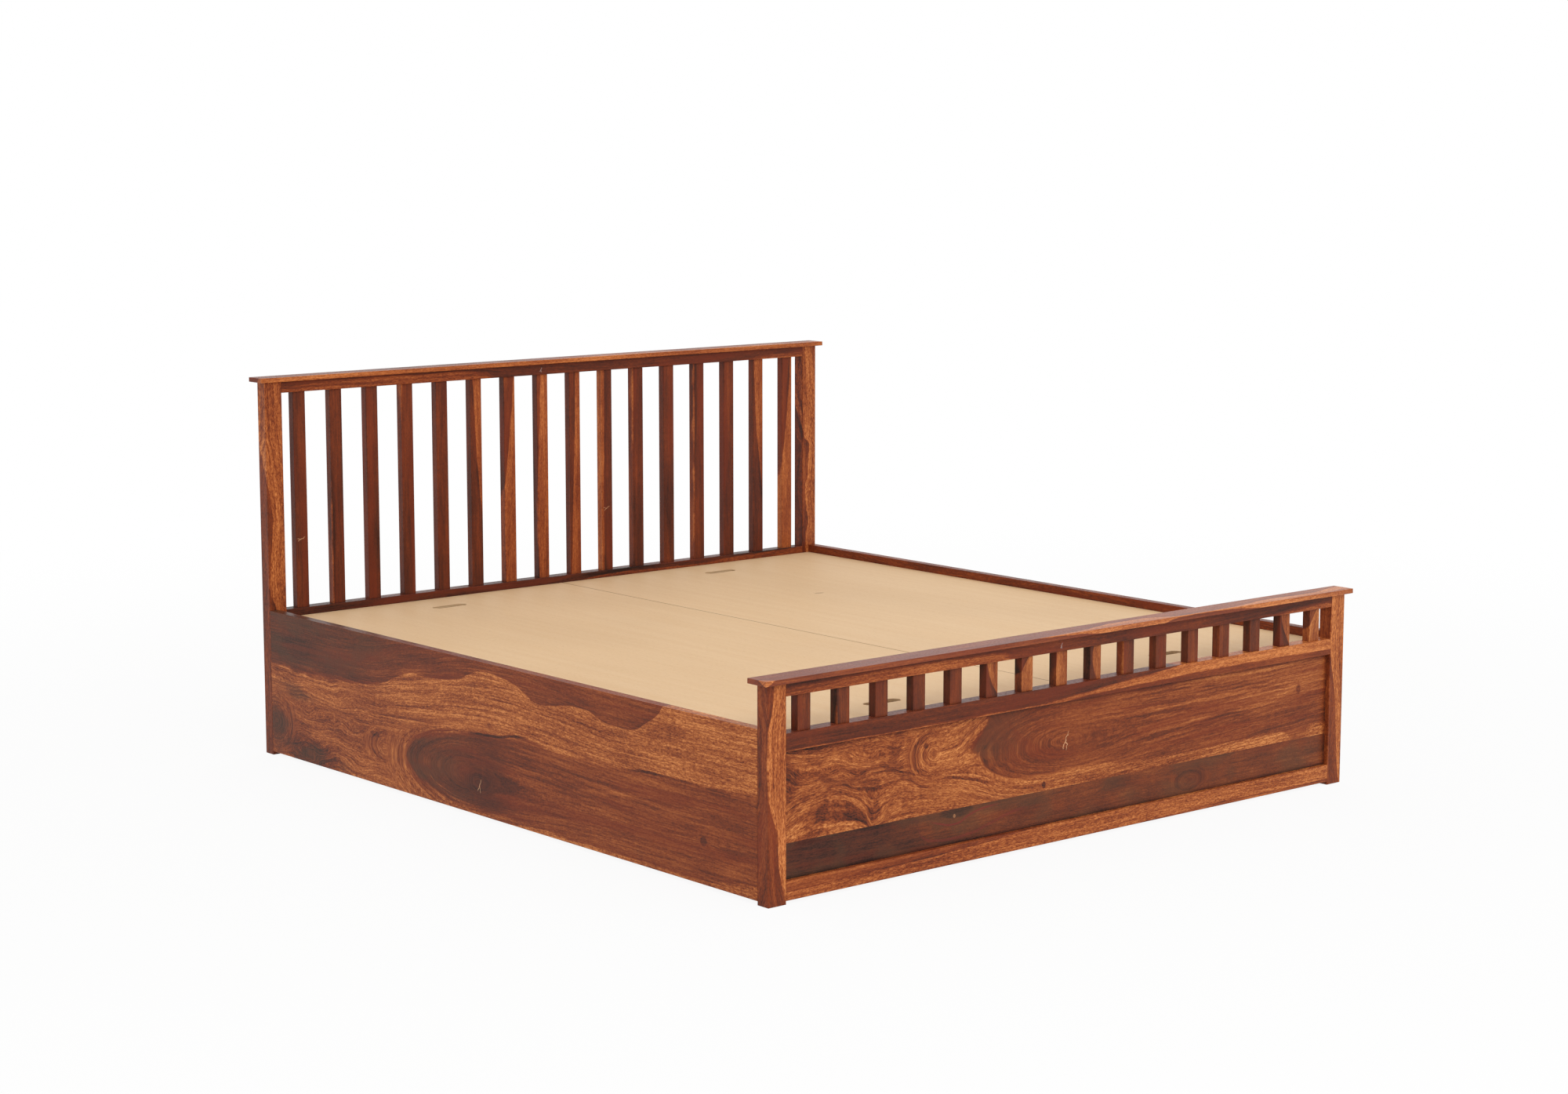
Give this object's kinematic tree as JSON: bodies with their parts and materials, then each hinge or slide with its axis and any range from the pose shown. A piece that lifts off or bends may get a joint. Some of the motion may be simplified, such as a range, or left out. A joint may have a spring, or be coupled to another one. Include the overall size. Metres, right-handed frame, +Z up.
{
  "type": "storage bed",
  "caption": "Wooden double bed with slatted head and foot frames and a storage box under two lift-up plywood lids.",
  "frame": {"origin": "middle of the bed on the floor it stands on", "axes": "+Z up, +X across the bed to the right of someone who stands at the footboard and looks at the headboard, +Y from the footboard to the headboard"},
  "size_m": [1.939, 2.109, 1.004],
  "materials": {
    "honey_rosewood": "satin lacquer over honey-brown rosewood",
    "brown_rosewood": "satin lacquer over red-brown rosewood",
    "dark_rosewood": "satin lacquer over dark rosewood heartwood",
    "plywood": "smooth sealed plywood",
    "zinc_plated_steel": "zinc plated"
  },
  "bodies": {
    "bed_frame": {"head_cap": "brown_rosewood", "head_top_rail": "brown_rosewood", "head_left_post": "honey_rosewood", "head_right_post": "honey_rosewood", "head_slat_rail": "dark_rosewood", "head_panel_upper_board": "honey_rosewood", "head_panel_lower_board": "brown_rosewood", "head_bottom_rail": "brown_rosewood", "head_slat_1": "brown_rosewood", "head_slat_2": "brown_rosewood", "head_slat_3": "brown_rosewood", "head_slat_4": "brown_rosewood", "head_slat_5": "brown_rosewood", "head_slat_6": "brown_rosewood", "head_slat_7": "brown_rosewood", "head_slat_8": "brown_rosewood", "head_slat_9": "brown_rosewood", "head_slat_10": "brown_rosewood", "head_slat_11": "brown_rosewood", "head_slat_12": "brown_rosewood", "head_slat_13": "brown_rosewood", "head_slat_14": "brown_rosewood", "head_slat_15": "brown_rosewood", "head_slat_16": "brown_rosewood", "foot_cap": "brown_rosewood", "foot_top_rail": "brown_rosewood", "foot_left_post": "honey_rosewood", "foot_right_post": "honey_rosewood", "foot_slat_rail": "dark_rosewood", "foot_panel_upper_board": "honey_rosewood", "foot_panel_lower_board": "dark_rosewood", "foot_bottom_rail": "brown_rosewood", "foot_slat_1": "brown_rosewood", "foot_slat_2": "brown_rosewood", "foot_slat_3": "brown_rosewood", "foot_slat_4": "brown_rosewood", "foot_slat_5": "brown_rosewood", "foot_slat_6": "brown_rosewood", "foot_slat_7": "brown_rosewood", "foot_slat_8": "brown_rosewood", "foot_slat_9": "brown_rosewood", "foot_slat_10": "brown_rosewood", "foot_slat_11": "brown_rosewood", "foot_slat_12": "brown_rosewood", "foot_slat_13": "brown_rosewood", "foot_slat_14": "brown_rosewood", "foot_slat_15": "brown_rosewood", "foot_slat_16": "brown_rosewood", "left_side_rail": "brown_rosewood", "right_side_rail": "brown_rosewood", "centre_divider": "plywood", "cross_divider": "plywood", "lid_cleats": "honey_rosewood", "floor_cleats": "honey_rosewood", "left_storage_floor": "plywood", "right_storage_floor": "plywood", "corner_brackets": "zinc_plated_steel", "wood_screws": "zinc_plated_steel"},
    "left_lid_panel": {"left_lid": "plywood"},
    "right_lid_panel": {"right_lid": "plywood"}
  },
  "joints": [
    {"name": "left_lid_tilt", "type": "hinge", "parent": "bed_frame", "child": "left_lid_panel", "pos_m": [-0.46287, -1.003, 0.366], "axis": [1, 0, 0], "range_deg": [0, 70]},
    {"name": "right_lid_tilt", "type": "hinge", "parent": "bed_frame", "child": "right_lid_panel", "pos_m": [0.46287, -1.003, 0.366], "axis": [1, 0, 0], "range_deg": [0, 70]}
  ]
}
